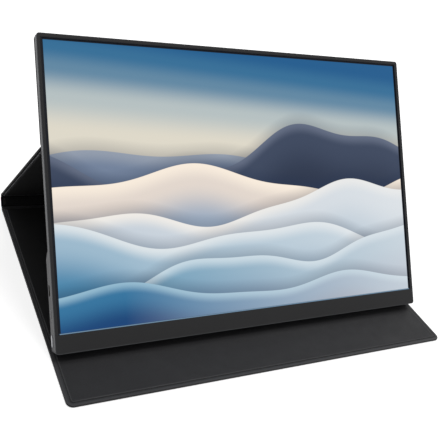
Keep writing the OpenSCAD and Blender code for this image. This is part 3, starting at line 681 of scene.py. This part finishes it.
def screen_material():
    """A lit screen under a matt anti-glare film, showing a plain design of overlapping waves."""
    material, tree, shader, where = new_material("screen")
    left, right, low, high = picture_spans()
    sideways = add(tree, "SeparateXYZ", {0: where}).outputs[0]
    across = math_node(tree, "MULTIPLY", sideways, 1 / (right - left))
    base = display_origin.dot(display_up) + low
    up = math_node(
        tree, "MULTIPLY_ADD", up_the_screen(tree, where), 1 / (high - low), -base / (high - low))
    slant = math_node(tree, "MULTIPLY_ADD", across, SKY_SLANT, up)
    colour = ramp(tree, slant, SKY, "EASE")
    haze = span(tree, across, HAZE_FROM, HAZE_TO, 0.0, HAZE_MOST)
    for middle, rise, *waves, stops in RIBBONS:
        edge = math_node(tree, "MULTIPLY_ADD", across, rise, middle)
        for height, count, phase in waves:
            turn = math_node(tree, "MULTIPLY_ADD", across, count * math.tau, phase * math.tau)
            edge = math_node(tree, "MULTIPLY_ADD", math_node(tree, "SINE", turn), height, edge)
        below = math_node(tree, "SUBTRACT", edge, up)
        shadow = span(tree, below, -SHADE_HEIGHT, 0.0, 0.0, SHADE_MOST)
        colour = mix(tree, shadow, colour, RIBBON_SHADE)
        inside = span(tree, below, -EDGE_SOFTNESS, EDGE_SOFTNESS)
        ribbon = ramp(tree, below, stops, "EASE")
        if middle < HAZY_BELOW:
            ribbon = mix(tree, haze, ribbon, CLOUD)
        colour = mix(tree, inside, colour, ribbon)
    off_side = math_node(tree, "SUBTRACT", 0.5, math_node(tree, "ABSOLUTE", across))
    off_top = math_node(tree, "SUBTRACT", 1.0, up)
    rim = math_node(tree, "MINIMUM", off_side, math_node(tree, "MINIMUM", off_top, up))
    lit = span(tree, rim, 0.0, RIM_SOFTNESS)
    # Painted highlight below the picture
    ledge = span(tree, up, -LEDGE_H, 0.0, 1.0, 0.0)
    border = mix(tree, ledge, PICTURE_BORDER, PICTURE_LEDGE)
    tree.links.new(mix(tree, lit, border, colour), shader.inputs["Emission Color"])
    grain = noise(tree, where, MATT_GRAIN, detail=2)
    matt = span(tree, grain, NOISE_LOW, NOISE_HIGH, *MATT_ROUGHNESS)
    tree.links.new(matt, shader.inputs["Roughness"])
    relief = bump(tree, noise(tree, where, MATT_BUMP, detail=1), MATT_BUMP_DEPTH)
    tree.links.new(relief, shader.inputs["Normal"])
    settle(shader, {
        "Emission Strength": BRIGHTNESS, "Base Color": UNLIT, "Specular IOR Level": 0.15})
    return material


def window_reach():
    """The bezel's window from its corners' points: its half width, its bottom and its top."""
    margin = WINDOW_MARGIN * MM
    bottom, top = reach("front_bezel", display_up)
    side = reach("front_bezel", RIGHT)[1] - margin
    points = [
        (abs(v.co.x), v.co.dot(display_up)) for v in frame["nodes"]["front_bezel"].data.vertices]
    inner = [(x, y) for x, y in points if x < side and bottom + margin < y < top - margin]
    return max(x for x, _ in inner), min(y for _, y in inner), max(y for _, y in inner)


def bezel_material():
    """Satin black moulding whose inner rim, at the top and the sides, is darker."""
    material = surface(
        "bezel", BEZEL, 0.55, grain_mm=0.3, depth_mm=0.006, specular=0.2, edge_mm=0.15)
    tree = material.node_tree
    shader = next(n for n in tree.nodes if n.type == "BSDF_PRINCIPLED")
    coat = shader.inputs["Base Color"].links[0].from_socket
    where = add(tree, "TexCoord").outputs["Object"]
    window_side, window_bottom, window_top = window_reach()
    sideways = math_node(tree, "ABSOLUTE", add(tree, "SeparateXYZ", {0: where}).outputs[0])
    climb = up_the_screen(tree, where)
    out = math_node(
        tree, "MAXIMUM", math_node(tree, "SUBTRACT", sideways, window_side),
        math_node(tree, "SUBTRACT", climb, window_top))
    width = BEZEL_LIP_W * MM
    near = span(tree, out, BEZEL_LIP_CORE * width, width, 1.0, 0.0)
    lip = math_node(
        tree, "MULTIPLY", near, math_node(tree, "GREATER_THAN", climb, window_bottom))
    tree.links.new(mix(tree, lip, coat, BEZEL_LIP), shader.inputs["Base Color"])
    return material


# ---------------------------------------------------------------- cover

LEATHER = srgb(50, 50, 52)
cover_leather = leather("cover_leather", LEATHER)
# Painted highlight: the front hem's ridge is a lighter copy of the cover leather, and lighter
# still behind the display as painted light there.
painted_highlight_front_hem = leather("painted_highlight_front_hem", srgb(62, 62, 64), painted_light_behind=srgb(105, 105, 108))
# Painted shade: the front inlay is darker behind the display, where the display's shade falls.
front_inlay = leather("front_inlay", LEATHER, painted_light_behind=srgb(32, 32, 33))
# Painted highlight: a lighter, glossier copy of the cover leather on the front panel's inner
# edge, hem and lining lip, standing in for the light caught along these edges.
painted_highlight_leather = leather("painted_highlight_leather", srgb(66, 66, 68), gloss=0.25)
# Painted highlight: a light grey copy of the leather on the stand's hem ridges, standing in for
# the sheen they catch.
painted_highlight_hem = leather("painted_highlight_hem", srgb(175, 175, 179), gloss=0.6)
# Painted shade: a near black copy of the leather on the edges of the spine and the stand, where
# they lie in shade.
painted_shade_edge_leather = leather("painted_shade_edge_leather", srgb(13, 13, 14), gloss=0.06)
fold_leather = leather("fold_leather", LEATHER, creased=True)
# Painted shade: the stand's lining is a darker copy of the same cloth, for the shade inside the
# stand.
painted_shade_lining = microfibre("painted_shade_lining", srgb(13, 13, 14))
spine_lining = microfibre("spine_lining", srgb(28, 28, 29))
lining_edge = microfibre("lining_edge", srgb(44, 44, 46))

stand_skin = (cover_leather, painted_shade_edge_leather, painted_shade_edge_leather, painted_highlight_hem)
# Each panel: its name, its body, its shape, its leathers and its linings
PANELS = [
    ("front", "front_panel",
     Panel(fold_frame(spine_fold, front_along, UP), cover_w, cover_w, front_len, FREE_R),
     (cover_leather, cover_leather, painted_highlight_leather, painted_highlight_front_hem), (front_inlay, painted_highlight_leather)),
    ("spine", "spine",
     Panel(
         fold_frame(spine_fold, spine_along, turned(spine_along)), cover_w, cover_w, spine_len),
     (cover_leather, painted_shade_edge_leather, painted_shade_edge_leather, cover_leather), (spine_lining, spine_lining)),
    ("lower", "lower_panel",
     Panel(
         fold_frame(rear_fold, lower_along, turned(lower_along)), cover_w, display_w, lower_len),
     stand_skin, (painted_shade_lining, lining_edge)),
    ("upper", "display",
     Panel(
         fold_frame(middle_fold, display_up, turned(display_up)), display_w, display_w,
         upper_len, TOP_R),
     stand_skin, (painted_shade_lining, lining_edge)),
]
for part, body, panel, leathers, linings in PANELS:
    skin = panel.skin(part + "_skin", leathers)
    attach(skin, body)
    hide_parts(part + "_leather")
    inlay = panel.inlay(part + "_inlay", linings)
    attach(inlay, body)
    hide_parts(part + "_lining")

crease(
    "spine_crease", spine_fold, front_along, spine_along, cover_w,
    fold_leather,
)
crease(
    "rear_crease", rear_fold, -spine_along, lower_along, cover_w,
    fold_leather,
)
crease(
    "middle_crease", middle_fold, -lower_along, display_up, display_w,
    fold_leather,
)


# ---------------------------------------------------------------- finishes of the CAD nodes

ALONG_SOCKET = (0.1, 1, 1)      # stretches of brushed metal's grain
ALONG_KEY = (1, 0.1, 0.1)
ALONG_TRAY = (0.03, 1, 1)
# Each finish: its slot in the record, its material and the nodes that have it
FINISHES = [
    ("card", surface("card", srgb(150, 134, 108), 0.9, grain_mm=0.5, depth_mm=0.03), (
        "front_board", "spine_board", "lower_board", "upper_board")),
    ("magnet", surface("magnet", srgb(178, 180, 184), 0.28, 1.0), (
        "front_magnets", "upper_magnets")),
    ("frame_metal", surface(
        "frame_metal", srgb(67, 68, 70), 0.45, 1.0, grain_mm=0.22, depth_mm=0.006, edge_mm=0.2), (
        "side_frame",)),
    ("casing", surface(
        "casing", srgb(66, 66, 69), 0.5, 0.35, grain_mm=0.25, depth_mm=0.008, edge_mm=0.5), (
        "rear_cover",)),
    ("bezel", bezel_material(), ("front_bezel",)),
    ("screen", screen_material(), ("screen_glass",)),
    ("film", surface("film", srgb(236, 238, 240), 0.35), ("diffuser_films", "reflector_sheet")),
    ("acrylic", surface("acrylic", srgb(226, 232, 236), 0.12), ("light_guide",)),
    ("lamp", surface("lamp", srgb(236, 222, 132), 0.5), ("led_bar",)),
    ("tray_steel", surface(
        "tray_steel", srgb(178, 180, 182), 0.34, 1.0, stretch=ALONG_TRAY), ("screen_tray",)),
    ("foam", surface("foam", srgb(44, 44, 44), 0.95, grain_mm=0.4, depth_mm=0.06), (
        "tray_tapes",)),
    ("circuit_board", surface(
        "circuit_board", srgb(26, 92, 58), 0.36, grain_mm=0.9, depth_mm=0.02), (
        "driver_board", "main_board", "side_board")),
    ("flex", surface("flex", srgb(190, 128, 44), 0.3), (
        "driver_flexes", "display_cable", "link_cable")),
    ("chip", surface("chip", srgb(30, 30, 32), 0.5, grain_mm=0.15), ("board_chips",)),
    ("shield_steel", surface("shield_steel", srgb(188, 190, 192), 0.3, 1.0), ("shield_can",)),
    ("screw_steel", surface("screw_steel", srgb(180, 180, 182), 0.28, 1.0), ("board_screws",)),
    ("socket_steel", surface(
        "socket_steel", srgb(226, 226, 226), 0.3, 1.0, stretch=ALONG_SOCKET), (
        "usb_shell_lower", "hdmi_shell")),
    # Painted shade: the upper socket's shell is a dark copy of the socket steel, for the shade
    # inside its opening.
    ("socket_steel", surface(
        "socket_steel_painted_shade", srgb(60, 52, 45), 0.4, 1.0, stretch=ALONG_SOCKET), ("usb_shell_upper",)),
    ("socket_plastic", surface("socket_plastic", srgb(26, 26, 27), 0.45), (
        "usb_tongue_lower", "usb_tongue_upper", "hdmi_tongue", "audio_jack")),
    ("key_metal", surface(
        "key_metal", srgb(176, 177, 180), 0.34, 1.0, stretch=ALONG_KEY), (
        "power_button", "menu_rocker")),
    ("switch", surface("switch", srgb(120, 121, 124), 0.5), ("power_switch", "menu_switches")),
    ("speaker", surface("speaker", srgb(24, 24, 26), 0.6, grain_mm=0.5, depth_mm=0.02), (
        "speaker_left", "speaker_right")),
]
for slot_name, material, nodes in FINISHES:
    for node in nodes:
        piece = frame["nodes"][node]
        piece.data.materials.clear()
        piece.data.materials.append(material)


# ---------------------------------------------------------------- world and floor

AMBIENT = 0.30      # the room's light on the object
FLOOR_COLOUR = 0.8
FLOOR_GLOW = 1 - FLOOR_COLOUR * AMBIENT  # added where it is seen, so that only shadows stay grey
FLOOR_SIDE = 12.0   # in metres
FLOOR_DROP = 0.2    # below the front panel's underside, in millimetres
WHITE = (1, 1, 1, 1)


def seen_directly(tree):
    """1 for rays that show the background: camera, glossy and transmission rays."""
    path = add(tree, "LightPath").outputs
    glossy = math_node(tree, "MAXIMUM", path["Is Glossy Ray"], path["Is Transmission Ray"])
    return math_node(tree, "MAXIMUM", path["Is Camera Ray"], glossy)


def make_world():
    world = bpy.data.worlds.new("studio")
    world.use_nodes = True
    tree = world.node_tree
    tree.nodes.clear()
    level = math_node(tree, "MULTIPLY_ADD", seen_directly(tree), 1 - AMBIENT, AMBIENT)
    light = add(tree, "Background", {"Color": WHITE, "Strength": level})
    add(tree, "OutputWorld", {"Surface": light.outputs[0]})
    bpy.context.scene.world = world


def make_floor():
    made = bmesh.new()
    bmesh.ops.create_grid(made, x_segments=1, y_segments=1, size=FLOOR_SIDE / 2)
    mesh = bpy.data.meshes.new("floor")
    made.to_mesh(mesh)
    made.free()
    material = bpy.data.materials.new("floor")
    material.use_nodes = True
    tree = material.node_tree
    tree.nodes.clear()
    matt = add(tree, "BsdfDiffuse", {"Color": shade(WHITE, FLOOR_COLOUR)})
    level = math_node(tree, "MULTIPLY", seen_directly(tree), FLOOR_GLOW)
    glow = add(tree, "Emission", {"Color": WHITE, "Strength": level})
    both = add(tree, "AddShader", {0: matt.outputs[0], 1: glow.outputs[0]})
    add(tree, "OutputMaterial", {"Surface": both.outputs[0]})
    mesh.materials.append(material)
    floor = bpy.data.objects.new("floor", mesh)
    floor.location.z = -FLOOR_DROP * MM
    bpy.context.scene.collection.objects.link(floor)


make_camera()
make_world()
make_floor()
for lamp in LAMPS:
    make_lamp(*lamp)
bpy.context.scene.view_settings.view_transform = "Standard"
